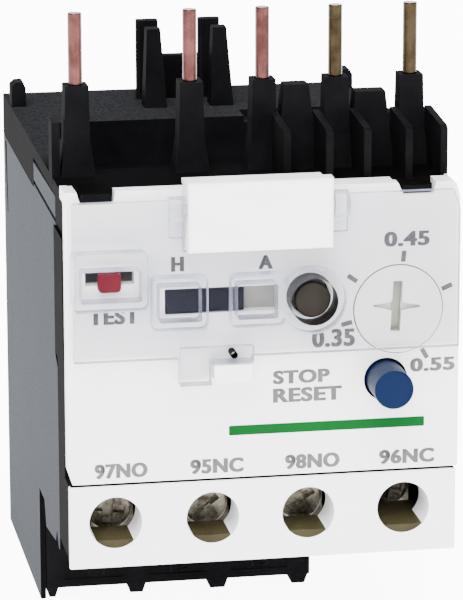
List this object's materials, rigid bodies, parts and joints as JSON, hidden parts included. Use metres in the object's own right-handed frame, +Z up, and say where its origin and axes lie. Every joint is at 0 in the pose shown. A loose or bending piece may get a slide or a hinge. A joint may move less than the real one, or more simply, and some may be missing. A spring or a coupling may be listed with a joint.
{
  "type": "thermal overload relay",
  "caption": "Plug-on three-pole thermal overload relay with contact pins on top, trip current dial, blue reset button, clear sealed cover and screw terminals.",
  "frame": {"origin": "bottom centre of the bounding box, under the middle of the relay", "axes": "+X to the right of the front face, +Y into the depth, +Z up along the contact pins"},
  "size_m": [0.045, 0.065, 0.0739],
  "materials": {
    "black_plastic": "fine-grained black thermoplastic",
    "side_plastic": "smooth black thermoplastic",
    "white_plastic": "satin white thermoplastic",
    "tab_plastic": "satin warm white thermoplastic",
    "clear_plastic": "clear polycarbonate",
    "blue_plastic": "blue thermoplastic",
    "red_plastic": "red thermoplastic",
    "charcoal_plastic": "dark slate thermoplastic",
    "cream_plastic": "off-white thermoplastic",
    "natural_plastic": "natural glass-filled nylon",
    "zinc_steel": "zinc-plated steel",
    "dark_steel": "dark plated steel",
    "spring_steel": "spring steel wire",
    "bimetal": "bimetal strip",
    "resistance_wire": "nickel-chromium wire",
    "glass_fibre": "woven glass-fibre sleeve",
    "copper": "bare copper",
    "brass": "brass rod",
    "silver": "silver contact alloy"
  },
  "bodies": {
    "body": {"base_housing": "black_plastic", "left_side_cover": "side_plastic", "rear_cover": "black_plastic", "front_cover": "white_plastic", "terminal_block": "white_plastic", "marker_tab": "tab_plastic", "mechanism_frame": "natural_plastic", "reset_spring": "spring_steel", "control_screws": "zinc_steel", "control_clamps": "zinc_steel", "contact_strips": "brass", "fixed_contact_rivets": "silver", "bimetal_holders": "zinc_steel", "trip_pivot": "spring_steel", "power_pins": "copper", "auxiliary_pins": "brass", "power_bars": "copper", "power_screws": "zinc_steel", "power_clamps": "zinc_steel"},
    "cover": {"clear_cover": "clear_plastic"},
    "reset": {"reset_button": "blue_plastic"},
    "dial_body": {"dial": "cream_plastic", "dial_cam": "natural_plastic"},
    "test": {"test_lever": "red_plastic"},
    "selector": {"selector_slide": "charcoal_plastic"},
    "calibration": {"calibration_screw": "dark_steel"},
    "slider": {"contact_slider": "natural_plastic", "contact_bridges": "brass", "bridge_rivets": "silver"},
    "bars": {"transmission_bar": "natural_plastic", "differential_lever": "natural_plastic", "differential_bar": "natural_plastic"},
    "trip": {"trip_lever": "natural_plastic", "compensation_strip": "bimetal"},
    "strip_1": {"bimetal_1": "bimetal", "sleeve_1": "glass_fibre", "heater_winding_1": "resistance_wire"},
    "strip_2": {"bimetal_2": "bimetal", "sleeve_2": "glass_fibre", "heater_winding_2": "resistance_wire"},
    "strip_3": {"bimetal_3": "bimetal", "sleeve_3": "glass_fibre", "heater_winding_3": "resistance_wire"}
  },
  "joints": [
    {"name": "cover_hinge", "type": "hinge", "parent": "body", "child": "cover", "pos_m": [0, -0.02999, 0.05443], "axis": [-1, 0, 0], "range_deg": [0, 110]},
    {"name": "reset_press", "type": "slide", "parent": "body", "child": "reset", "axis": [0, 1, 0], "range_m": [0, 0.0024], "stiffness_N_per_m": 600, "springref_m": -0.0012, "deforming": ["reset_spring"]},
    {"name": "dial_turn", "type": "hinge", "parent": "body", "child": "dial_body", "pos_m": [0.01543, -0.02773, 0.04151], "axis": [0, -1, 0], "range_deg": [-147, 107]},
    {"name": "test_slide", "type": "slide", "parent": "body", "child": "test", "axis": [1, 0, 0], "range_m": [-0.0012, 0.0012], "stiffness_N_per_m": 400},
    {"name": "selector_slide_x", "type": "slide", "parent": "body", "child": "selector", "axis": [1, 0, 0], "range_m": [0, 0.0034]},
    {"name": "calibration_turn", "type": "hinge", "parent": "body", "child": "calibration", "pos_m": [0.00526, -0.02773, 0.04358], "axis": [0, -1, 0], "range_deg": [-180, 180]},
    {"name": "bar_slide", "type": "slide", "parent": "body", "child": "bars", "axis": [-1, 0, 0], "range_m": [0, 0.0016], "stiffness_N_per_m": 200},
    {"name": "trip_turn", "type": "hinge", "parent": "body", "child": "trip", "pos_m": [0.01808, -0.00366, 0.03557], "axis": [0, 0, 1], "range_deg": [0, 6]},
    {"name": "contact_travel", "type": "slide", "parent": "body", "child": "slider", "axis": [0, -1, 0], "range_m": [0, 0.0016]},
    {"name": "strip_1_bend", "type": "hinge", "parent": "body", "child": "strip_1", "pos_m": [-0.01543, 0.01511, 0.01454], "axis": [0, -1, 0], "range_deg": [0, 3.2]},
    {"name": "strip_2_bend", "type": "hinge", "parent": "body", "child": "strip_2", "pos_m": [-0.0054, 0.01511, 0.01454], "axis": [0, -1, 0], "range_deg": [0, 3.2]},
    {"name": "strip_3_bend", "type": "hinge", "parent": "body", "child": "strip_3", "pos_m": [0.00462, 0.01511, 0.01454], "axis": [0, -1, 0], "range_deg": [0, 3.2]}
  ],
  "couplings": [
    {"joint": "trip_turn", "follows": "bar_slide", "rad_per_m": 64.5},
    {"joint": "contact_travel", "follows": "bar_slide", "ratio": 0.96875},
    {"joint": "strip_1_bend", "follows": "bar_slide", "rad_per_m": 32.8},
    {"joint": "strip_2_bend", "follows": "bar_slide", "rad_per_m": 32.8},
    {"joint": "strip_3_bend", "follows": "bar_slide", "rad_per_m": 32.8}
  ]
}
